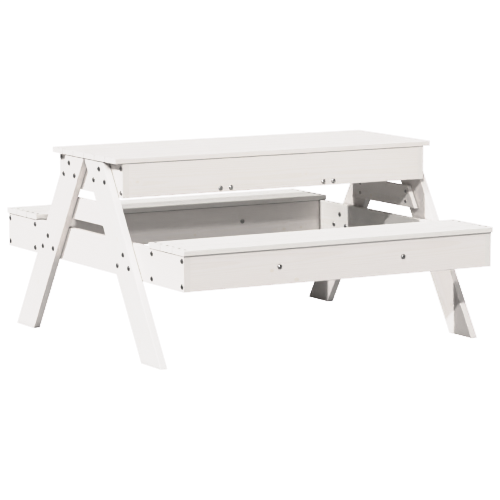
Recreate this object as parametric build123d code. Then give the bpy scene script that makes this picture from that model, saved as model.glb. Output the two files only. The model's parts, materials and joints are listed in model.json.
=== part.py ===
from build123d import *
import math
import os

# Children's picnic table with a lidded sandbox between two pairs of splayed legs.
# Millimetres. X runs along the table, Y from the front bench to the back bench, Z up from the ground.

# Timber shared by the frame
edge_rounding = 1.5
board_thickness = 18.0

# Sandbox, four boards on edge
sandbox_length = 890.0
sandbox_depth = 86.5
sandbox_corner_margin = 16.5
floor_panel_thickness = 6.0
floor_groove_depth = 6.0
floor_panel_play = 1.0
groove_clearance = 0.2
floor_batten_width = 58.0
floor_batten_thickness = 18.0
floor_batten_rise = 1.5
floor_batten_spacing = 304.0
floor_batten_screw_spacing = 30.0
corner_screw_edge = 13.0

# Tabletop, lifts off
top_board_count = 6
top_board_thickness = 14.0
top_seam = 1.0
top_side_overhang = 1.0
top_end_overhang = 1.0
top_batten_width = 40.0
top_batten_thickness = 18.0
top_batten_count = 3
top_batten_play = 2.0
top_screw_cover = 4.0

# Legs, flat boards splayed across the table's depth
leg_width = 87.5
leg_thickness = 19.0
leg_lean_degrees = 32.3
leg_pair_gap = 3.5
leg_top_clearance = 1.5

# Brace inside each pair of legs, between the bench support and the sandbox
brace_width = 57.0
brace_thickness = 14.0
brace_gap_below = 26.0
brace_gap_above = 23.0
brace_lap = 49.0
brace_screw_spacing = 27.0

# Benches
seat_height = 300.0
seat_board_count = 3
seat_board_width = 59.3
seat_board_thickness = 14.0
seat_seam = 1.0
seat_side_overhang = 5.0
seat_inner_overhang = 3.0
seat_end_overhang = 2.0
knee_room = 142.5
rail_depth = 88.0
rib_spacing = 358.0
rib_thickness = 18.0
rail_screw_edge = 13.0
seat_screw_edge = 14.8

# Triangles of fasteners in the legs
triangle_width = 60.0
bolt_triangle_height = 30.0
leg_screw_drop = 18.5
leg_screw_rise = 11.0

# Fasteners
bore_clearance = 0.1
bore_end_play = 1.0
fastener_spacing = 1.0
screw_cover = 2.0
point_length = 5.0
end_grain_bite = 30.0
cross_width = 1.3
cross_depth = 1.5
cut_overrun = 1.0
frame_screw_diameter = 4.0
frame_screw_head = 12.5
frame_screw_head_height = 2.8
brace_screw_diameter = 4.0
brace_screw_head = 9.0
brace_screw_head_height = 2.8
rail_screw_diameter = 4.0
rib_screw_diameter = 5.0
rib_screw_head = 12.5
rib_screw_head_height = 3.6
batten_screw_diameter = 4.5
batten_screw_head = 12.0
batten_screw_head_height = 3.2
flat_screw_diameter = 3.5
flat_screw_head = 7.6
flat_screw_head_height = 2.2
bolt_diameter = 6.0
bolt_head = 12.5
bolt_head_height = 2.8
bolt_length = 30.0
sleeve_diameter = 8.0
sleeve_length = 16.0
sleeve_floor = 1.0

# Shapes of the round heads, as parts of the head's own radius and height
rim_share = 0.2
crown_radius_share = 0.62
crown_height_share = 0.84
cross_length_share = 0.55

# Heights that follow, from the bench supports up
leg_lean = math.radians(leg_lean_degrees)
seat_underside = seat_height - seat_board_thickness
rail_underside = seat_underside - rail_depth
rail_middle = seat_underside - rail_depth / 2
brace_underside = seat_underside + brace_gap_below
sandbox_underside = brace_underside + brace_width + brace_gap_above
sandbox_rim = sandbox_underside + sandbox_depth
table_height = sandbox_rim + top_board_thickness
leg_top = sandbox_rim - leg_top_clearance
floor_batten_underside = sandbox_underside + floor_batten_rise
floor_underside = floor_batten_underside + floor_batten_thickness
floor_top = floor_underside + floor_panel_thickness
screw_spacing_in_depth = sandbox_depth - 2 * corner_screw_edge
rail_screw_offset = rail_depth / 2 - rail_screw_edge


# Lines of the legs

def leg_inner_edge(height):
    """How far the leg's inner edge is from the table's middle at a height."""
    return leg_pair_gap / 2 + (leg_top - height) * math.tan(leg_lean)


def leg_run():
    """The leg's width measured level."""
    return leg_width / math.cos(leg_lean)


def leg_middle(height):
    """How far the leg's centre line is from the table's middle at a height."""
    return leg_inner_edge(height) + leg_run() / 2


# Reaches that follow, from the table's middle out
end_face = sandbox_length / 2
end_inner_face = end_face - board_thickness
sandbox_side = leg_inner_edge(sandbox_underside) + leg_run() + sandbox_corner_margin
sandbox_inner_side = sandbox_side - board_thickness
inner_rail_face = sandbox_side + knee_room
seat_inner_edge = inner_rail_face - seat_inner_overhang
seat_width = seat_board_count * seat_board_width + (seat_board_count - 1) * seat_seam
bench_reach = seat_inner_edge + seat_width
outer_rail_face = bench_reach - seat_side_overhang

side_names = {-1: "left", 1: "right"}
row_names = {-1: "front", 1: "back"}


# Boards

def plank(low, high, grain):
    """A board between two corners, with its long edges rounded."""
    size = [b - a for a, b in zip(low, high)]
    middle = [(a + b) / 2 for a, b in zip(low, high)]
    solid = Pos(*middle) * Box(*size)
    return fillet(solid.edges().filter_by(grain), edge_rounding)


def between(a, b):
    """Two places on one axis, the lower first."""
    return min(a, b), max(a, b)


def cross_section_board(points, x, thickness, grain):
    """A board of any outline across the table's depth, with the edges that run with the grain rounded."""
    outline = make_face(Polyline(*points, close=True))
    solid = extrude(Plane.YZ.offset(x) * outline, amount=thickness, dir=(1, 0, 0))
    return fillet(solid.edges().filter_by(grain), edge_rounding)


def leg(side, row):
    """One leg, cut level at its foot and under the tabletop."""
    points = [
        (row * leg_inner_edge(leg_top), leg_top),
        (row * (leg_inner_edge(leg_top) + leg_run()), leg_top),
        (row * (leg_inner_edge(0) + leg_run()), 0),
        (row * leg_inner_edge(0), 0),
    ]
    x, _ = between(side * end_face, side * (end_face + leg_thickness))
    grain = Axis((0, 0, 0), (0, -row * math.sin(leg_lean), math.cos(leg_lean)))
    return cross_section_board(points, x, leg_thickness, grain)


def brace(side):
    """The short board inside a pair of legs, its ends cut in line with them."""
    top = brace_underside + brace_width
    points = [
        (-leg_inner_edge(brace_underside) - brace_lap, brace_underside),
        (leg_inner_edge(brace_underside) + brace_lap, brace_underside),
        (leg_inner_edge(top) + brace_lap, top),
        (-leg_inner_edge(top) - brace_lap, top),
    ]
    x, _ = between(side * end_face, side * (end_face - brace_thickness))
    return cross_section_board(points, x, brace_thickness, Axis.Y)


# Fasteners, each made with its head's seat at the origin and its point down

def turned(points, crown=None):
    """A solid turned about Z from points as (radius, height), closed by an arc over the crown."""
    outline = Polyline(*points, close=crown is None)
    edges = outline if crown is None else outline + ThreePointArc(points[-1], crown, points[0])
    return revolve(Plane.XZ * make_face(edges), axis=Axis.Z)


def cross_recess(head_diameter, head_top):
    """The crossed slots for the driver."""
    length = head_diameter * cross_length_share
    centre = Pos(0, 0, head_top - cross_depth / 2 + cut_overrun / 2)
    height = cross_depth + cut_overrun
    return centre * Box(length, cross_width, height) + centre * Box(cross_width, length, height)


def round_head_screw(diameter, length, head, head_height, point=point_length):
    """A screw with a low domed head that sits on the wood."""
    radius = head / 2
    points = [
        (0, head_height),
        (0, -length),
        (diameter / 2, point - length),
        (diameter / 2, 0),
        (radius, 0),
        (radius, head_height * rim_share),
    ]
    body = turned(points, crown=(radius * crown_radius_share, head_height * crown_height_share))
    return body - cross_recess(head, head_height)


def flat_head_screw(diameter, length, head, head_height):
    """A countersunk screw, its head level with the wood."""
    points = [
        (0, 0),
        (0, -length),
        (diameter / 2, point_length - length),
        (diameter / 2, -head_height),
        (head / 2, 0),
    ]
    return turned(points) - cross_recess(head, 0)


def bolt_headed(shank):
    """A turned fastener with the bolt's low domed head over the given points of its shank."""
    radius = bolt_head / 2
    points = [(0, bolt_head_height), *shank, (radius, 0), (radius, bolt_head_height * rim_share)]
    body = turned(points, crown=(radius * crown_radius_share, bolt_head_height * crown_height_share))
    return body - cross_recess(bolt_head, bolt_head_height)


def bolt():
    """A bolt with a low domed head and a flat end."""
    radius = bolt_diameter / 2
    return bolt_headed([(0, -bolt_length), (radius, -bolt_length), (radius, 0)])


def sleeve_nut():
    """A nut with the same domed head and a sleeve round the bolt's end."""
    inside = bolt_diameter / 2 + bore_clearance
    outside = sleeve_diameter / 2
    return bolt_headed([
        (0, -sleeve_floor),
        (inside, -sleeve_floor),
        (inside, -sleeve_length),
        (outside, -sleeve_length),
        (outside, 0),
    ])


def bore(diameter, length, head=0, head_height=0):
    """What a fastener needs cut out of the wood, with a sunk seat for a flat head."""
    radius = diameter / 2 + bore_clearance
    bottom = -length - bore_end_play
    if not head:
        return turned([(0, cut_overrun), (0, bottom), (radius, bottom), (radius, cut_overrun)])
    wide = head / 2 + bore_clearance
    return turned([
        (0, cut_overrun),
        (0, bottom),
        (radius, bottom),
        (radius, -head_height - bore_clearance),
        (wide, 0),
        (wide, cut_overrun),
    ])


def placed(solid, places):
    """Copies of a fastener at places given as (point, outward direction of its head)."""
    return [Plane(origin=point, z_dir=outward).location * solid for point, outward in places]


def bored(board, bores):
    """A board with the holes of its fasteners cut."""
    cutters = [cutter for cutter in bores if board.bounding_box().overlaps(cutter.bounding_box())]
    for cutter in cutters:
        board -= cutter
    return board


# Places of the fasteners

def triangle(low, high, reach, facing=1):
    """One fastener above two at every leg, at a reach along the table, facing out or, with -1, in."""
    spots = [(0, high), (-triangle_width / 2, low), (triangle_width / 2, low)]
    places = []
    for side in (-1, 1):
        for row in (-1, 1):
            for along, z in spots:
                point = (side * reach, row * (leg_middle(low) + along), z)
                places.append((point, (side * facing, 0, 0)))
    return places


leg_outer_face = end_face + leg_thickness
leg_screw_places = triangle(floor_top + leg_screw_rise, leg_top - leg_screw_drop, leg_outer_face)
bolt_pair_height = rail_middle - bolt_triangle_height / 2
top_bolt_height = rail_middle + bolt_triangle_height / 2
leg_bolt_places = triangle(bolt_pair_height, top_bolt_height, leg_outer_face)
sleeve_nut_places = triangle(bolt_pair_height, top_bolt_height, end_inner_face, facing=-1)

brace_screw_places = []
for side in (-1, 1):
    brace_middle = brace_underside + brace_width / 2
    reach = leg_inner_edge(brace_middle) + brace_lap / 2
    for row in (-1, 1):
        for step in (-1, 1):
            z = brace_middle + step * brace_screw_spacing / 2
            point = (side * (end_face - brace_thickness), row * reach, z)
            brace_screw_places.append((point, (-side, 0, 0)))

corner_screw_places = []
for side in (-1, 1):
    for row in (-1, 1):
        for step in (-1, 1):
            y = row * (sandbox_side - board_thickness / 2)
            z = sandbox_underside + sandbox_depth / 2 + step * screw_spacing_in_depth / 2
            corner_screw_places.append(((side * end_face, y, z), (side, 0, 0)))

floor_batten_screw_places = []
for row in (-1, 1):
    for side in (-1, 1):
        for step in (-1, 1):
            x = side * floor_batten_spacing / 2 + step * floor_batten_screw_spacing / 2
            z = floor_batten_underside + floor_batten_thickness / 2
            floor_batten_screw_places.append(((x, row * sandbox_side, z), (0, row, 0)))

floor_screw_places = []
for side in (-1, 1):
    for row in (-1, 0, 1):
        point = (side * floor_batten_spacing / 2, row * sandbox_inner_side / 2, floor_top)
        floor_screw_places.append((point, (0, 0, 1)))

rail_centres = (outer_rail_face - board_thickness / 2, inner_rail_face + board_thickness / 2)
rail_screw_places = []
for side in (-1, 1):
    for row in (-1, 1):
        for centre in rail_centres:
            for step in (-1, 1):
                point = (side * end_face, row * centre, rail_middle + step * rail_screw_offset)
                rail_screw_places.append((point, (side, 0, 0)))

rib_screw_places = []
for row in (-1, 1):
    for side in (-1, 1):
        x = side * rib_spacing / 2
        rib_screw_places.append(((x, row * outer_rail_face, rail_middle), (0, row, 0)))
        rib_screw_places.append(((x, row * inner_rail_face, rail_middle), (0, -row, 0)))


def seat_board_middle(number):
    """How far a seat board's middle is from the table's middle, counted from the inner board."""
    return seat_inner_edge + seat_board_width / 2 + number * (seat_board_width + seat_seam)


seat_screw_places = []
for side in (-1, 1):
    for row in (-1, 1):
        for number in range(seat_board_count):
            for step in (-1, 1):
                y = row * (seat_board_middle(number) + step * (seat_board_width / 2 - seat_screw_edge))
                point = (side * (end_face - board_thickness / 2), y, seat_height)
                seat_screw_places.append((point, (0, 0, 1)))

top_width = 2 * (sandbox_side + top_side_overhang)
top_board_width = (top_width - (top_board_count - 1) * top_seam) / top_board_count
top_end = leg_outer_face + top_end_overhang
top_batten_reach = end_inner_face - top_batten_play - top_batten_width / 2
top_batten_underside = sandbox_rim - top_batten_thickness


def top_board_middle(number):
    """Where a top board's middle is across the table."""
    return -top_width / 2 + top_board_width / 2 + number * (top_board_width + top_seam)


def top_batten_middle(number):
    """Where a top batten's middle is along the table."""
    return -top_batten_reach + number * 2 * top_batten_reach / (top_batten_count - 1)


top_screw_places = []
for number in range(top_batten_count):
    for board_number in range(top_board_count):
        point = (top_batten_middle(number), top_board_middle(board_number), top_batten_underside)
        top_screw_places.append((point, (0, 0, -1)))

# Lengths of the fasteners
leg_screw_length = leg_thickness + board_thickness - screw_cover
brace_screw_length = brace_thickness + leg_thickness - screw_cover
end_grain_screw_length = board_thickness + end_grain_bite
floor_screw_length = floor_panel_thickness + floor_batten_thickness - screw_cover
seat_screw_bite = rail_screw_edge - rail_screw_diameter / 2 - fastener_spacing
seat_screw_length = seat_board_thickness + seat_screw_bite
top_screw_length = top_batten_thickness + top_board_thickness - top_screw_cover

# Each kind of fastener: the solid, what it cuts, where it goes
fasteners = {
    "leg_top_screws": (
        round_head_screw(frame_screw_diameter, leg_screw_length, frame_screw_head, frame_screw_head_height),
        bore(frame_screw_diameter, leg_screw_length - bore_end_play),
        leg_screw_places,
    ),
    "leg_bolts": (
        bolt(),
        bore(bolt_diameter, bolt_length),
        leg_bolt_places,
    ),
    "leg_sleeve_nuts": (
        sleeve_nut(),
        bore(sleeve_diameter, sleeve_length),
        sleeve_nut_places,
    ),
    "brace_screws": (
        round_head_screw(brace_screw_diameter, brace_screw_length, brace_screw_head, brace_screw_head_height),
        bore(brace_screw_diameter, brace_screw_length - bore_end_play),
        brace_screw_places,
    ),
    "sandbox_corner_screws": (
        round_head_screw(frame_screw_diameter, end_grain_screw_length, frame_screw_head,
                         frame_screw_head_height),
        bore(frame_screw_diameter, end_grain_screw_length),
        corner_screw_places,
    ),
    "floor_batten_screws": (
        round_head_screw(batten_screw_diameter, end_grain_screw_length, batten_screw_head,
                         batten_screw_head_height),
        bore(batten_screw_diameter, end_grain_screw_length),
        floor_batten_screw_places,
    ),
    "floor_panel_screws": (
        flat_head_screw(flat_screw_diameter, floor_screw_length, flat_screw_head, flat_screw_head_height),
        bore(flat_screw_diameter, floor_screw_length - bore_end_play, flat_screw_head,
             flat_screw_head_height),
        floor_screw_places,
    ),
    "bench_rail_screws": (
        round_head_screw(rail_screw_diameter, end_grain_screw_length, frame_screw_head,
                         frame_screw_head_height),
        bore(rail_screw_diameter, end_grain_screw_length),
        rail_screw_places,
    ),
    "bench_rib_screws": (
        round_head_screw(rib_screw_diameter, end_grain_screw_length, rib_screw_head, rib_screw_head_height),
        bore(rib_screw_diameter, end_grain_screw_length),
        rib_screw_places,
    ),
    "seat_screws": (
        flat_head_screw(flat_screw_diameter, seat_screw_length, flat_screw_head, flat_screw_head_height),
        bore(flat_screw_diameter, seat_screw_length - bore_end_play, flat_screw_head, flat_screw_head_height),
        seat_screw_places,
    ),
    "tabletop_batten_screws": (
        flat_head_screw(flat_screw_diameter, top_screw_length, flat_screw_head, flat_screw_head_height),
        bore(flat_screw_diameter, top_screw_length, flat_screw_head, flat_screw_head_height),
        top_screw_places,
    ),
}
bores = {name: placed(cutter, places) for name, (solid, cutter, places) in fasteners.items()}

# The pieces by name, each with the kinds of fastener that go into it
boards = {}


def add(name, solid, *kinds):
    """Keep a board under its name with its holes bored."""
    for kind in kinds:
        solid = bored(solid, bores[kind])
    boards[name] = solid


# Sandbox
panel_reach_x = end_inner_face + floor_groove_depth
panel_reach_y = sandbox_inner_side + floor_groove_depth
groove = Pos(0, 0, floor_underside + floor_panel_thickness / 2) * Box(
    2 * panel_reach_x, 2 * panel_reach_y, floor_panel_thickness + 2 * groove_clearance)
for row in (-1, 1):
    y_low, y_high = between(row * sandbox_side, row * sandbox_inner_side)
    board = plank((-end_inner_face, y_low, sandbox_underside), (end_inner_face, y_high, sandbox_rim), Axis.X)
    add(f"sandbox_{row_names[row]}_board", board - groove, "sandbox_corner_screws", "floor_batten_screws")
for side in (-1, 1):
    x_low, x_high = between(side * end_face, side * end_inner_face)
    board = plank((x_low, -sandbox_side, sandbox_underside), (x_high, sandbox_side, sandbox_rim), Axis.Y)
    add(f"sandbox_end_{side_names[side]}", board - groove, "sandbox_corner_screws", "leg_top_screws")

panel = Pos(0, 0, floor_underside + floor_panel_thickness / 2) * Box(
    2 * (panel_reach_x - floor_panel_play), 2 * (panel_reach_y - floor_panel_play), floor_panel_thickness)
add("sandbox_floor_panel", panel, "floor_panel_screws")
for side in (-1, 1):
    x = side * floor_batten_spacing / 2
    low = (x - floor_batten_width / 2, -sandbox_inner_side, floor_batten_underside)
    high = (x + floor_batten_width / 2, sandbox_inner_side, floor_underside)
    batten = plank(low, high, Axis.Y)
    add(f"floor_batten_{side_names[side]}", batten, "floor_batten_screws", "floor_panel_screws")

# Tabletop
for number in range(top_board_count):
    y = top_board_middle(number)
    low = (-top_end, y - top_board_width / 2, sandbox_rim)
    high = (top_end, y + top_board_width / 2, table_height)
    add(f"tabletop_board_{number + 1}", plank(low, high, Axis.X), "tabletop_batten_screws")
for number in range(top_batten_count):
    x = top_batten_middle(number)
    low = (x - top_batten_width / 2, top_batten_play - sandbox_inner_side, top_batten_underside)
    high = (x + top_batten_width / 2, sandbox_inner_side - top_batten_play, sandbox_rim)
    add(f"tabletop_batten_{number + 1}", plank(low, high, Axis.Y), "tabletop_batten_screws")

# Legs, braces and bench supports
for side in (-1, 1):
    for row in (-1, 1):
        name = f"leg_{row_names[row]}_{side_names[side]}"
        add(name, leg(side, row), "leg_top_screws", "leg_bolts", "brace_screws")
    add(f"brace_{side_names[side]}", brace(side), "brace_screws")
    x_low, x_high = between(side * end_face, side * end_inner_face)
    low = (x_low, -outer_rail_face, rail_underside)
    high = (x_high, outer_rail_face, seat_underside)
    support = plank(low, high, Axis.Y)
    kinds = ("leg_bolts", "leg_sleeve_nuts", "bench_rail_screws", "seat_screws")
    add(f"bench_support_{side_names[side]}", support, *kinds)

# Benches
for row in (-1, 1):
    bench = f"{row_names[row]}_bench"
    rails = {
        "outer": (outer_rail_face, outer_rail_face - board_thickness),
        "inner": (inner_rail_face, inner_rail_face + board_thickness),
    }
    for rail_name, (near, far) in rails.items():
        y_low, y_high = between(row * near, row * far)
        low = (-end_inner_face, y_low, rail_underside)
        high = (end_inner_face, y_high, seat_underside)
        add(f"{bench}_{rail_name}_rail", plank(low, high, Axis.X), "bench_rail_screws", "bench_rib_screws")
    for side in (-1, 1):
        x = side * rib_spacing / 2
        y_low, y_high = between(row * rails["outer"][1], row * rails["inner"][1])
        low = (x - rib_thickness / 2, y_low, rail_underside)
        high = (x + rib_thickness / 2, y_high, seat_underside)
        add(f"{bench}_rib_{side_names[side]}", plank(low, high, Axis.Y), "bench_rib_screws")
    for number in range(seat_board_count):
        y = row * seat_board_middle(number)
        low = (-end_face - seat_end_overhang, y - seat_board_width / 2, seat_underside)
        high = (end_face + seat_end_overhang, y + seat_board_width / 2, seat_height)
        add(f"{bench}_seat_board_{number + 1}", plank(low, high, Axis.X), "seat_screws")

# One file for each piece, and one for each kind of fastener
os.makedirs("parts", exist_ok=True)
for name, solid in boards.items():
    export_step(solid, f"parts/{name}.step")
for name, (solid, cutter, places) in fasteners.items():
    export_step(Compound(children=placed(solid, places)), f"parts/{name}.step")
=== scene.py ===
import json
import math
import random

import bpy
from mathutils import Euler, Matrix, Vector

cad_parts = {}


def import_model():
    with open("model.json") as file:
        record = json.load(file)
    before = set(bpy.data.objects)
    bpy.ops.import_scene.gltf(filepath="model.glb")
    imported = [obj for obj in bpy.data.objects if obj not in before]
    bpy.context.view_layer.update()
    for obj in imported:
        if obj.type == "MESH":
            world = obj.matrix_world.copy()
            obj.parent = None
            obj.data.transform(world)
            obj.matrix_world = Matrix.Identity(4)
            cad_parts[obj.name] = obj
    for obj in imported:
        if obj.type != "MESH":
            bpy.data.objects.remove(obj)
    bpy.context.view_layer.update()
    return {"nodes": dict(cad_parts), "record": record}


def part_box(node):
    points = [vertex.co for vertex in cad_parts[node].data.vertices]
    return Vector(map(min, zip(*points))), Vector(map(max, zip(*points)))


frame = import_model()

# A white painted children's picnic table with a lidded sandbox.
# Metres. X runs along the table, Y from the front bench to the back bench, Z up from the ground.

nodes = frame["nodes"]
slots = {part["node"]: part["material_slot"] for part in frame["record"]["subparts"]}
MM = 0.001

# How the legs are cut and lean, as the frame has them
LEG_LEAN = math.radians(32.3)
LEG_WIDTH = 87.5 * MM

# Camera, fitted to the photograph, which is a square of so many pixels; lens and sensor in millimetres
CAMERA_PLACE = Vector((-3.5982, -6.2744, 1.2070))
CAMERA_HEADING = math.radians(29.969)
CAMERA_PITCH = math.radians(7.828)
CAMERA_TURN = Euler((math.pi / 2 - CAMERA_PITCH, 0, -CAMERA_HEADING))
CAMERA_LENS = 200.89
SENSOR_WIDTH = 36
CAMERA_SIGHT = 200
PHOTO_SIZE = 500

# Paint: on most boards, on the cooler ones, and where wear and wood change it; then the colour of painted
# shade
PAINT = (0.838, 0.797, 0.774)
PAINT_COOLER = (0.828, 0.806, 0.782)
PAINT_WORN = (0.700, 0.655, 0.600)
PAINT_OVER_KNOT = (0.760, 0.700, 0.620)
PAINT_ON_END_GRAIN = (0.770, 0.740, 0.710)
# Painted shade: the dark that joints, corners and the undersides of eaves are painted towards
PAINTED_SHADE = (0.060, 0.054, 0.050)
COOLER_BOARDS = ("leg_front_left", "front_bench_seat", "back_bench_seat", "bench_support_right")

# Shares of the paint's red, green and blue that stay in brush streaks and in clouds
STREAKED_SHARES = (0.90, 0.90, 0.90)
CLOUDED_SHARES = (0.985, 0.975, 0.955)

# How strongly each change shows in the colour of a board
STREAKS_SHOWN = 0.50
CLOUDS_SHOWN = 0.60
LATE_WOOD_SHOWN = 0.19
KNOTS_SHOWN = 0.55
END_GRAIN_SHOWN = 0.35
END_GRAIN_RINGS_SHOWN = 0.50
WEAR_SHOWN = 0.60
# How strongly the painted shade shows in corners
CORNER_SHADE_SHOWN = 0.35

# Between which values of its pattern each change comes in
STREAK_SPAN = (0.45, 0.80)
CLOUD_SPAN = (0.40, 0.80)
WORN_PATCH_SPAN = (0.52, 0.72)
LATE_WOOD_RISE = (0.35, 0.90)
LATE_WOOD_FALL = (1.00, 0.94)
END_GRAIN_SPAN = (0.35, 0.75)
ARRIS_SPAN = (1.3 * MM, 0.3 * MM)

# The paint's gloss, and the relief of each pattern in tenths of a millimetre
PAINT_IOR = 1.5
PAINT_ROUGHNESS = 0.46
STREAK_ROUGHNESS = 0.10
END_GRAIN_ROUGHNESS = 0.22
PAINT_RELIEF = 0.1 * MM
LATE_WOOD_HEIGHT = 0.30
STREAK_HEIGHT = 0.35
FIBRE_HEIGHT = 0.16
KNOT_HEIGHT = 0.50

# Painted shade in joints, corners and under eaves: the reach, and the shares of open air where it starts
# and is full
JOINT = (5 * MM, 0.97, 0.55)
CORNER = (30 * MM, 0.75, 0.20)
EAVE = (2.5 * MM, 0.30, 0.12)
AIR_SAMPLES = 6
UPWARDS = (0.0, 0.0, 1.0)

# Shares of the painted shade in joints on upright faces, and how level a face is where that starts and
# ends
UPRIGHT_JOINT_SHARE = 0.15
UPRIGHT_SEAM_SHARE = 0.90
LEVEL_SPAN = (0.25, 0.60)

# Year rings: their spacing, how far they wander, and how many rings unevenness and knots shift them
RING_SPACING = 3.2 * MM
RING_WANDER = 9 * MM
UNEVEN_RINGS = 0.5
SWIRLED_RINGS = 2.2

# Drawn for each board: its trunk's middle, as shares of width and thickness, and its slopes in radians
PITH_ACROSS_SHARES = (-0.35, 0.35)
PITH_DEPTH_SHARES = (0.9, 2.6)
PITH_DIP = (-0.020, 0.020)
PITH_VEER = (-0.012, 0.012)

# Drawn for each board too: how far its patterns are shifted, and its shade of the paint
PATTERN_SHIFT = 9
SHADE_SHARES = (0.985, 1.0)

# Knots drawn for a board: one in so much length, the chance of more, and how far they keep from its rim
KNOT_SPACING = 330 * MM
KNOT_CHANCE = 1.2
KNOT_TO_END = 30 * MM
KNOT_TO_EDGE = 8 * MM
KNOT_RADII = (2.5 * MM, 6.0 * MM)

# A knot's shape: it is longer with the grain, and its edge and its swirl lie at shares of its radius
KNOT_SLENDERNESS = 0.75
KNOT_EDGE_SHARES = (1.15, 0.80)
SWIRL_SHARES = (4.5, 0.7)

# Knots in the photograph: the pixel that each is at, from the left and from the top, and its radius
SEEN_KNOTS = {
    "sandbox_front_board": [(137.5, 181.8, 3.2 * MM), (306, 174, 2.2 * MM)],
    "bench_support_left": [(93.5, 250.5, 2.6 * MM), (96.5, 253.5, 2.2 * MM)],
    "back_bench_inner_rail": [(284, 229, 4.0 * MM), (301, 227, 3.5 * MM), (195, 235, 3.0 * MM)],
    "brace_right": [(371, 195, 3.5 * MM)],
}

# Patterns on the boards: how often each changes in a metre with the grain, across it and through it
WANDERING = dict(scales=(1.6, 9, 9), detail=2.0, roughness=0.5)
UNEVENNESS = dict(scales=(3, 40, 40), detail=1.0, roughness=0.5)
WORN_PATCHES = dict(scales=(30, 160, 160), detail=3.0, roughness=0.6)
BRUSH_STREAKS = dict(scales=(7, 420, 420), detail=3.0, roughness=0.6)
PAINT_CLOUDS = dict(scales=(4, 14, 14), detail=2.0, roughness=0.5)
WOOD_FIBRE = dict(scales=(60, 2400, 2400), detail=2.0, roughness=0.6)

# Zinc plate: its colour, its bloom, where it is worn, and its tint at grazing angles
WHITE = (1, 1, 1, 1)
DULL_EDGE = (0.12, 0.12, 0.12, 1)
# The dull and dark plates are the one zinc darkened as painted shade on sunk and shaded heads; the bright
# plate is it lightened as a painted highlight
PLATES = {
    "zinc_steel": ((0.30, 0.30, 0.315), (0.35, 0.33, 0.295), (0.17, 0.165, 0.16), WHITE),
    "zinc_steel_painted_recess_shade": ((0.045, 0.045, 0.047), (0.06, 0.056, 0.05), (0.03, 0.03, 0.03), DULL_EDGE),
    "zinc_steel_painted_shade": ((0.17, 0.17, 0.178), (0.20, 0.19, 0.17), (0.10, 0.095, 0.09), WHITE),
    "zinc_steel_painted_highlight": ((0.46, 0.46, 0.47), (0.51, 0.49, 0.45), (0.24, 0.23, 0.22), WHITE),
}
# Which screws get a plate with painted shade or a painted highlight
SPECIAL_PLATES = {
    "seat_screws": "zinc_steel_painted_recess_shade",
    "floor_panel_screws": "zinc_steel_painted_recess_shade",
    "tabletop_batten_screws": "zinc_steel_painted_recess_shade",
    "leg_top_screws": "zinc_steel_painted_shade",
    "leg_bolts": "zinc_steel_painted_shade",
    "leg_sleeve_nuts": "zinc_steel_painted_shade",
    "bench_rail_screws": "zinc_steel_painted_shade",
    "floor_batten_screws": "zinc_steel_painted_highlight",
}
BLOOM = dict(scales=(260, 260, 260), detail=2.0, roughness=0.5)
SPECKS = dict(scales=(1900, 1900, 1900), detail=3.0, roughness=0.65)
SCRATCHES = dict(scales=(900, 5200, 900), detail=2.0, roughness=0.5)
BLOOM_SPAN = (0.35, 0.70)
SPECK_SPAN = (0.60, 0.85)
PLATE_ROUGHNESS = 0.24
SPECK_ROUGHNESS = 0.18
SPECK_HEIGHT = 0.6
PLATE_RELIEF = 0.02 * MM

# Plywood under thin paint
PLYWOOD_PAINT = (0.80, 0.77, 0.73)
PLYWOOD_VENEER = (0.72, 0.66, 0.57)
PLYWOOD_PORES = (0.50, 0.42, 0.33)
VENEER = dict(scales=(5, 90, 90), detail=3.0, roughness=0.6, distortion=0.6)
PORES = dict(scales=(60, 1500, 1500), detail=2.0, roughness=0.6)
VENEER_SPAN = (0.35, 0.75)
PORE_SPAN = (0.55, 0.80)
PORES_SHOWN = 0.35
PLYWOOD_ROUGHNESS = 0.55
PORE_ROUGHNESS = 0.2
VENEER_HEIGHT = 0.5
PLYWOOD_RELIEF = 0.05 * MM

# Lamps as the shadows in the photograph run: the way the light travels, its strength and its spread
SHARP = math.radians(1.8)
LAMPS = {
    "front_lamp": ((0.95, 1.21, -1.0), 2.2, SHARP),
    "left_lamp": ((1.0, -0.04, -0.85), 2.9, SHARP),
    "low_front_lamp": ((0.0, 1.0, -0.32), 0.62, SHARP),
    "overhead_lamp": ((0.1, 0.1, -1.0), 1.05, math.radians(50)),
    "back_fill_lamp": ((-0.7, -1.0, -0.02), 0.85, math.radians(30)),
}
LAMPS_WITHOUT_SHEEN = ("back_fill_lamp",)
LAMP_DISTANCE = 6.0

# The floor and the white all round it
FLOOR_REACH = 60.0
FLOOR_LEVEL = -0.2 * MM
FLOOR_BOUNCE = (0.35, 0.35, 0.35, 1)
SKY_FILL = 0.02
BACKDROP_GLOW = 4.4

# Bright tones bend over as in the photograph: where, how softly in red, green and blue, and pure white
SHOULDER_START = 0.70
SHOULDER_SOFTNESS = (0.185, 0.170, 0.168)
WHITE_POINT = 4.0

# The points of that curve: shares of its straight start, and some of the bright tones
STRAIGHT_SHARES = (0.25, 0.50, 0.75, 1.0)
SHOULDER_TONES = (0.85, 1.0, 1.2, 1.5, 2.0, 3.0)

# The numbers of a Mix node's sockets for colours
MIX_FACTOR = 0
MIX_FIRST = 6
MIX_SECOND = 7
MIX_RESULT = 2


# Small helpers for shader trees

def new_material(name):
    """A new material with no shader nodes yet, and its tree."""
    material = bpy.data.materials.new(name)
    material.use_nodes = True
    material.node_tree.nodes.clear()
    return material, material.node_tree


def add_node(tree, kind, inputs=None, **settings):
    """A shader node with its settings and its inputs, each a number, a colour or a socket."""
    node = tree.nodes.new(kind)
    for key, value in settings.items():
        setattr(node, key, value)
    for key, value in (inputs or {}).items():
        if isinstance(value, bpy.types.NodeSocket):
            tree.links.new(value, node.inputs[key])
        else:
            node.inputs[key].default_value = value
    return node


def calc(tree, operation, *values):
    """The result of one Math node."""
    return add_node(tree, "ShaderNodeMath", dict(enumerate(values)), operation=operation).outputs[0]


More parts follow.
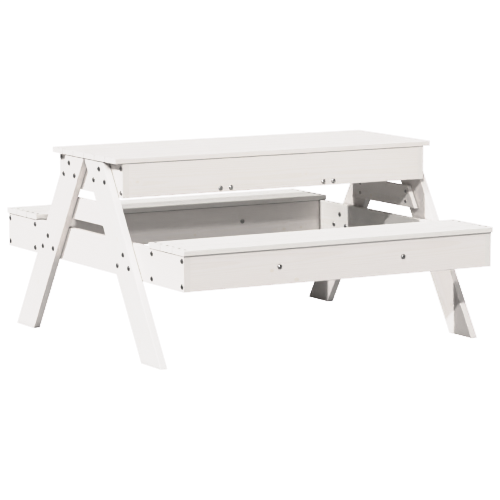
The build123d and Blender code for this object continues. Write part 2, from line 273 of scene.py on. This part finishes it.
def layered(tree, base, *layers):
    """A base value with layers on it, each a pattern and how much of it is added."""
    for pattern, amount in layers:
        base = calc(tree, "MULTIPLY_ADD", pattern, amount, base)
    return base


def distance(tree, first, second):
    """How far away two offsets at right angles lead."""
    square = layered(tree, calc(tree, "MULTIPLY", first, first), (second, second))
    return calc(tree, "SQRT", square)


def ramp(tree, value, low, high, out_low=0.0, out_high=1.0):
    """A smooth step from out_low to out_high while the value goes from low to high."""
    inputs = {"Value": value, "From Min": low, "From Max": high, "To Min": out_low, "To Max": out_high}
    return add_node(tree, "ShaderNodeMapRange", inputs, interpolation_type="SMOOTHSTEP").outputs[0]


def noise(tree, place, scales, detail, roughness, distortion=0.0, shift=(0, 0, 0)):
    """Noise between 0 and 1 with a scale of its own along each axis."""
    inputs = {"Vector": place, "Scale": scales, "Location": shift}
    stretched = add_node(tree, "ShaderNodeMapping", inputs).outputs[0]
    inputs = {"Vector": stretched, "Scale": 1.0, "Detail": detail, "Roughness": roughness,
              "Distortion": distortion}
    return add_node(tree, "ShaderNodeTexNoise", inputs).outputs[0]


def object_place(tree):
    """Where a point of a piece lies in the table's own frame."""
    return add_node(tree, "ShaderNodeTexCoord").outputs["Object"]


def seen_from(tree, place, middle, turn):
    """A place as its offsets from a middle, along turned axes."""
    inputs = {"Vector": place, "Location": middle, "Rotation": turn}
    return add_node(tree, "ShaderNodeMapping", inputs, vector_type="TEXTURE").outputs[0]


def split(tree, vector):
    """A vector's X, Y and Z."""
    return add_node(tree, "ShaderNodeSeparateXYZ", {0: vector}).outputs


def opaque(colour):
    """A colour with its alpha, or a socket as it is."""
    return colour if isinstance(colour, bpy.types.NodeSocket) else (*colour, 1)


def mixed(tree, factor, first, second):
    """A colour between two by a factor."""
    inputs = {MIX_FACTOR: factor, MIX_FIRST: opaque(first), MIX_SECOND: opaque(second)}
    return add_node(tree, "ShaderNodeMix", inputs, data_type="RGBA").outputs[MIX_RESULT]


def tinted(tree, colour, tint, pattern, amount):
    """A colour that takes on an amount of a tint where the pattern is 1."""
    return mixed(tree, calc(tree, "MULTIPLY", pattern, amount), colour, tint)


def dimmed(colour, shares):
    """A colour with a share of each of its channels."""
    return tuple(channel * share for channel, share in zip(colour, shares))


def closed_in(tree, reach, open_share, closed_share, way=None):
    """How closed in a place is by what lies within reach, on its own side or one way: 0 is open."""
    inputs = {"Distance": reach}
    if way:
        inputs["Normal"] = add_node(tree, "ShaderNodeCombineXYZ", dict(enumerate(way))).outputs[0]
    open_air = add_node(tree, "ShaderNodeAmbientOcclusion", inputs, samples=AIR_SAMPLES).outputs["AO"]
    return ramp(tree, open_air, open_share, closed_share)


def finish_material(tree, colour, roughness, height, relief, constants=None):
    """The shader and the output of a material, from its colour, its roughness and its height."""
    bump = add_node(tree, "ShaderNodeBump", {"Height": height, "Distance": relief, "Strength": 1.0})
    inputs = {"Base Color": colour, "Roughness": roughness, "Normal": bump.outputs[0]}
    inputs.update(constants or {})
    shader = add_node(tree, "ShaderNodeBsdfPrincipled", inputs)
    add_node(tree, "ShaderNodeOutputMaterial", {"Surface": shader.outputs[0]})


# Boards

def board_axes(name):
    """A board's middle, its axes with the grain, across it and through it, and its size along each."""
    low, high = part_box(name)
    middle, size = (low + high) / 2, high - low
    if name.startswith("leg_"):
        row = -1 if "front" in name else 1
        grain = Vector((0, -row * math.sin(LEG_LEAN), math.cos(LEG_LEAN)))
        across = Vector((0, math.cos(LEG_LEAN), row * math.sin(LEG_LEAN)))
        return middle, (grain, across, grain.cross(across)), (size.z / grain.z, LEG_WIDTH, size.x)
    order = sorted(range(3), key=lambda axis: -size[axis])
    unit = [Vector([1.0 if axis == k else 0.0 for axis in range(3)]) for k in order]
    return middle, (unit[0], unit[1], unit[0].cross(unit[1])), tuple(size[k] for k in order)


def line_of_sight(x, y):
    """The way from the camera through a pixel of the photograph."""
    depth = CAMERA_LENS / SENSOR_WIDTH * PHOTO_SIZE
    way = Vector((x - PHOTO_SIZE / 2, PHOTO_SIZE / 2 - y, -depth))
    way.rotate(CAMERA_TURN)
    return way


def seen_knots(name, middle, axes, size):
    """A board's knots in the photograph: each one's place with the grain and across it, and its radius."""
    facing = axes[2] if axes[2].dot(CAMERA_PLACE - middle) > 0 else -axes[2]
    to_face = (middle + facing * size[2] / 2 - CAMERA_PLACE).dot(facing)
    knots = []
    for x, y, radius in SEEN_KNOTS.get(name, []):
        way = line_of_sight(x, y)
        offset = CAMERA_PLACE + way * (to_face / way.dot(facing)) - middle
        knots.append((offset.dot(axes[0]), offset.dot(axes[1]), radius))
    return knots


def drawn_knots(draw, size):
    """Knots for a board that shows none in the photograph, given in the same way."""
    length, width = size[:2]
    count = int(length / KNOT_SPACING + draw.random() * KNOT_CHANCE)
    knots = []
    for index in range(count):
        along = (draw.random() - 0.5) * (length - 2 * KNOT_TO_END)
        across = (draw.random() - 0.5) * (width - 2 * KNOT_TO_EDGE)
        knots.append((along, across, draw.uniform(*KNOT_RADII)))
    return knots


def drawn_trunk(draw, size):
    """The middle of the trunk that a board comes from, off the board and nearly with its length."""
    width, thickness = size[1:]
    pith = (0, draw.uniform(*PITH_ACROSS_SHARES) * width, -draw.uniform(*PITH_DEPTH_SHARES) * thickness)
    tilt = (0, draw.uniform(*PITH_DIP), draw.uniform(*PITH_VEER))
    return pith, tilt


def drawn_paint(draw, name):
    """A board's own shade of the paint."""
    tint = PAINT_COOLER if name.startswith(COOLER_BOARDS) else PAINT
    shade = draw.uniform(*SHADE_SHARES)
    return dimmed(tint, (shade, shade, shade))


def knot_fields(tree, place, knots):
    """How much of a knot is here, and how far the rings bend round it."""
    offsets = split(tree, place)
    heart, swirl = 0.0, 0.0
    for along, across, radius in knots:
        with_grain = calc(tree, "MULTIPLY", calc(tree, "SUBTRACT", offsets["X"], along), KNOT_SLENDERNESS)
        off = distance(tree, with_grain, calc(tree, "SUBTRACT", offsets["Y"], across))
        here = ramp(tree, off, *(radius * share for share in KNOT_EDGE_SHARES))
        bend = ramp(tree, off, *(radius * share for share in SWIRL_SHARES))
        heart = calc(tree, "MAXIMUM", heart, here)
        swirl = calc(tree, "ADD", swirl, bend)
    return heart, swirl


def late_wood(tree, place, trunk, swirl, shift):
    """Where the dense part of a year ring comes to the surface, between 0 and 1."""
    from_pith = split(tree, seen_from(tree, place, *trunk))
    radius = distance(tree, from_pith["Y"], from_pith["Z"])
    radius = layered(tree, radius, (noise(tree, place, **WANDERING, shift=shift), RING_WANDER))
    rings = calc(tree, "DIVIDE", radius, RING_SPACING)
    unevenness = noise(tree, place, **UNEVENNESS, shift=shift)
    rings = layered(tree, rings, (swirl, SWIRLED_RINGS), (unevenness, UNEVEN_RINGS))
    phase = calc(tree, "FRACT", rings)
    return calc(tree, "MULTIPLY", ramp(tree, phase, *LATE_WOOD_RISE), ramp(tree, phase, *LATE_WOOD_FALL))


def cut_ends(tree, normal, grain):
    """Where a board is cut across its grain, between 0 and 1."""
    facing = add_node(tree, "ShaderNodeVectorMath", {0: normal, 1: grain}, operation="DOT_PRODUCT")
    return ramp(tree, calc(tree, "ABSOLUTE", facing.outputs["Value"]), *END_GRAIN_SPAN)


def worn_arrises(tree, place, size, shift):
    """Where a board's long edges have lost some paint, between 0 and 1."""
    offsets = split(tree, place)
    in_width = calc(tree, "SUBTRACT", size[1] / 2, calc(tree, "ABSOLUTE", offsets["Y"]))
    in_thickness = calc(tree, "SUBTRACT", size[2] / 2, calc(tree, "ABSOLUTE", offsets["Z"]))
    arris = ramp(tree, calc(tree, "MAXIMUM", in_width, in_thickness), *ARRIS_SPAN)
    patches = noise(tree, place, **WORN_PATCHES, shift=shift)
    return calc(tree, "MULTIPLY", arris, ramp(tree, patches, *WORN_PATCH_SPAN))


def painted_shade_share(tree, normal, name):
    """How much shade is painted on a board in its joints, right under what covers it, and in corners: 0 to
    1.
    """
    level = calc(tree, "ABSOLUTE", split(tree, normal)["Z"])
    seamed = slots[name] == "painted_decking"
    by_slope = ramp(tree, level, *LEVEL_SPAN, UPRIGHT_SEAM_SHARE if seamed else UPRIGHT_JOINT_SHARE)
    joint = calc(tree, "MULTIPLY", closed_in(tree, *JOINT), by_slope)
    corner = calc(tree, "MULTIPLY", closed_in(tree, *CORNER), CORNER_SHADE_SHOWN)
    covered = calc(tree, "MAXIMUM", joint, closed_in(tree, *EAVE, UPWARDS))
    return calc(tree, "MAXIMUM", covered, corner)


def brushed(tree, paint, streaks, clouds):
    """The colour of the paint with its brush streaks and its clouds."""
    streaked = ramp(tree, streaks, *STREAK_SPAN)
    clouded = ramp(tree, clouds, *CLOUD_SPAN)
    colour = tinted(tree, paint, dimmed(paint, STREAKED_SHARES), streaked, STREAKS_SHOWN)
    return tinted(tree, colour, dimmed(paint, CLOUDED_SHARES), clouded, CLOUDS_SHOWN)


def painted_board(name):
    """White paint on planed pine, with rings that follow the board's own trunk, its knots, and shade
    painted into its joints, corners and eaves.
    """
    draw = random.Random(name)
    middle, axes, size = board_axes(name)
    knots = seen_knots(name, middle, axes, size) or drawn_knots(draw, size)
    trunk = drawn_trunk(draw, size)
    shift = tuple(draw.random() * PATTERN_SHIFT for axis in range(3))
    paint = drawn_paint(draw, name)

    material, tree = new_material("painted_" + name)
    normal = add_node(tree, "ShaderNodeTexCoord").outputs["Normal"]
    place = seen_from(tree, object_place(tree), middle, Matrix(axes).transposed().to_euler())
    knot, swirl = knot_fields(tree, place, knots)
    late = late_wood(tree, place, trunk, swirl, shift)
    end = cut_ends(tree, normal, axes[0])
    worn = worn_arrises(tree, place, size, shift)
    streaks = noise(tree, place, **BRUSH_STREAKS, shift=shift)
    clouds = noise(tree, place, **PAINT_CLOUDS, shift=shift)
    fibre = noise(tree, place, **WOOD_FIBRE, shift=shift)

    end_shown = layered(tree, END_GRAIN_SHOWN, (late, END_GRAIN_RINGS_SHOWN))
    colour = brushed(tree, paint, streaks, clouds)
    colour = tinted(tree, colour, PAINT_OVER_KNOT, late, LATE_WOOD_SHOWN)
    colour = tinted(tree, colour, PAINT_OVER_KNOT, knot, KNOTS_SHOWN)
    colour = tinted(tree, colour, PAINT_ON_END_GRAIN, end, end_shown)
    colour = tinted(tree, colour, PAINT_WORN, worn, WEAR_SHOWN)
    # Painted shade darkens the colour in joints, in corners and under eaves
    colour = mixed(tree, painted_shade_share(tree, normal, name), colour, PAINTED_SHADE)

    rough = layered(tree, PAINT_ROUGHNESS, (streaks, STREAK_ROUGHNESS), (end, END_GRAIN_ROUGHNESS))
    height = calc(tree, "MULTIPLY", late, LATE_WOOD_HEIGHT)
    height = layered(tree, height, (streaks, STREAK_HEIGHT), (fibre, FIBRE_HEIGHT), (knot, KNOT_HEIGHT))
    finish_material(tree, colour, rough, height, PAINT_RELIEF, {"IOR": PAINT_IOR})
    return material


# Screws, bolts and plywood

def zinc_steel(name, plate, bloomed, worn, edge_tint):
    """Zinc plate with fine scratches, a faint bloom and worn specks."""
    material, tree = new_material(name)
    place = object_place(tree)
    specks = noise(tree, place, **SPECKS)
    colour = mixed(tree, ramp(tree, noise(tree, place, **BLOOM), *BLOOM_SPAN), plate, bloomed)
    colour = mixed(tree, ramp(tree, specks, *SPECK_SPAN), colour, worn)
    rough = layered(tree, PLATE_ROUGHNESS, (specks, SPECK_ROUGHNESS))
    height = layered(tree, noise(tree, place, **SCRATCHES), (specks, SPECK_HEIGHT))
    constants = {"Metallic": 1.0, "Specular Tint": edge_tint}
    finish_material(tree, colour, rough, height, PLATE_RELIEF, constants)
    return material


def plywood():
    """Thinly painted plywood, with the grain and the pores of its veneer along the table."""
    material, tree = new_material("plywood")
    place = object_place(tree)
    veneer = noise(tree, place, **VENEER)
    pores = noise(tree, place, **PORES)
    colour = mixed(tree, ramp(tree, veneer, *VENEER_SPAN), PLYWOOD_PAINT, PLYWOOD_VENEER)
    colour = tinted(tree, colour, PLYWOOD_PORES, ramp(tree, pores, *PORE_SPAN), PORES_SHOWN)
    rough = layered(tree, PLYWOOD_ROUGHNESS, (pores, PORE_ROUGHNESS))
    height = layered(tree, pores, (veneer, VENEER_HEIGHT))
    finish_material(tree, colour, rough, height, PLYWOOD_RELIEF)
    return material


def nodes_in(*wanted):
    """The CAD nodes in the material slots that are wanted, in the order of their names."""
    return sorted(name for name, slot in slots.items() if slot in wanted)


def clad(name, material):
    """Give a CAD node one material all over."""
    for slot in nodes[name].material_slots:
        slot.material = material


for name in nodes_in("painted_boards", "painted_decking"):
    clad(name, painted_board(name))
# Besides the plain zinc, darker copies carry painted shade and a lighter one a painted highlight
steels = {name: zinc_steel(name, *finish) for name, finish in PLATES.items()}
for name in nodes_in("zinc_steel"):
    clad(name, steels[SPECIAL_PLATES.get(name, "zinc_steel")])
for name in nodes_in("plywood"):
    clad(name, plywood())


# Studio

def floor():
    """A wide floor, white to the camera, which throws a little light back up."""
    mesh = bpy.data.meshes.new("studio_floor")
    square = ((-1, -1), (1, -1), (1, 1), (-1, 1))
    corners = [(x * FLOOR_REACH, y * FLOOR_REACH, FLOOR_LEVEL) for x, y in square]
    mesh.from_pydata(corners, [], [(0, 1, 2, 3)])
    piece = bpy.data.objects.new("studio_floor", mesh)
    bpy.context.scene.collection.objects.link(piece)
    material, tree = new_material("studio_floor")
    seen = add_node(tree, "ShaderNodeLightPath").outputs["Is Camera Ray"]
    bounce = add_node(tree, "ShaderNodeBsdfDiffuse", {"Color": FLOOR_BOUNCE}).outputs[0]
    glow = add_node(tree, "ShaderNodeEmission", {"Color": WHITE, "Strength": BACKDROP_GLOW}).outputs[0]
    surface = add_node(tree, "ShaderNodeMixShader", {0: seen, 1: bounce, 2: glow}).outputs[0]
    add_node(tree, "ShaderNodeOutputMaterial", {"Surface": surface})
    mesh.materials.append(material)


def world():
    """White all round for the camera, and next to no light on the object."""
    sky = bpy.data.worlds.new("studio")
    sky.use_nodes = True
    tree = sky.node_tree
    tree.nodes.clear()
    seen = add_node(tree, "ShaderNodeLightPath").outputs["Is Camera Ray"]
    strength = layered(tree, SKY_FILL, (seen, BACKDROP_GLOW - SKY_FILL))
    shader = add_node(tree, "ShaderNodeBackground", {"Color": WHITE, "Strength": strength})
    add_node(tree, "ShaderNodeOutputWorld", {"Surface": shader.outputs[0]})
    bpy.context.scene.world = sky


def lights():
    """Distant lamps, so that shadows and shading run as in the photograph."""
    for name, (travel, strength, spread) in LAMPS.items():
        data = bpy.data.lights.new(name, "SUN")
        data.energy = strength
        data.angle = spread
        lamp = bpy.data.objects.new(name, data)
        direction = Vector(travel).normalized()
        lamp.location = -direction * LAMP_DISTANCE
        lamp.rotation_euler = direction.to_track_quat("-Z", "Y").to_euler()
        lamp.visible_glossy = name not in LAMPS_WITHOUT_SHEEN
        bpy.context.scene.collection.objects.link(lamp)


def shoulder(tone, softness):
    """How bright a tone comes out: as it is when dark, bending over towards white when bright."""
    above = tone - SHOULDER_START
    if above <= 0:
        return tone
    ceiling = SHOULDER_START + softness
    bent = SHOULDER_START + softness * (1 - math.exp(-above / softness))
    return bent + (1 - ceiling) * above / (WHITE_POINT - SHOULDER_START)


def tone_curve():
    """The photograph's gentle shoulder, as a curve each for red, green and blue."""
    view = bpy.context.scene.view_settings
    view.view_transform = "Standard"
    view.use_curve_mapping = True
    mapping = view.curve_mapping
    mapping.white_level = (WHITE_POINT, WHITE_POINT, WHITE_POINT)
    straight_tones = [share * SHOULDER_START for share in STRAIGHT_SHARES]
    for curve, softness in zip(mapping.curves, SHOULDER_SOFTNESS):
        for tone in (*straight_tones, *SHOULDER_TONES):
            curve.points.new(tone / WHITE_POINT, shoulder(tone, softness))
    mapping.update()


def camera():
    """The photograph's viewing angle."""
    data = bpy.data.cameras.new("camera")
    data.lens = CAMERA_LENS
    data.sensor_width = SENSOR_WIDTH
    data.clip_end = CAMERA_SIGHT
    eye = bpy.data.objects.new("camera", data)
    eye.location = CAMERA_PLACE
    eye.rotation_euler = CAMERA_TURN
    bpy.context.scene.collection.objects.link(eye)
    bpy.context.scene.camera = eye


floor()
world()
lights()
camera()
tone_curve()
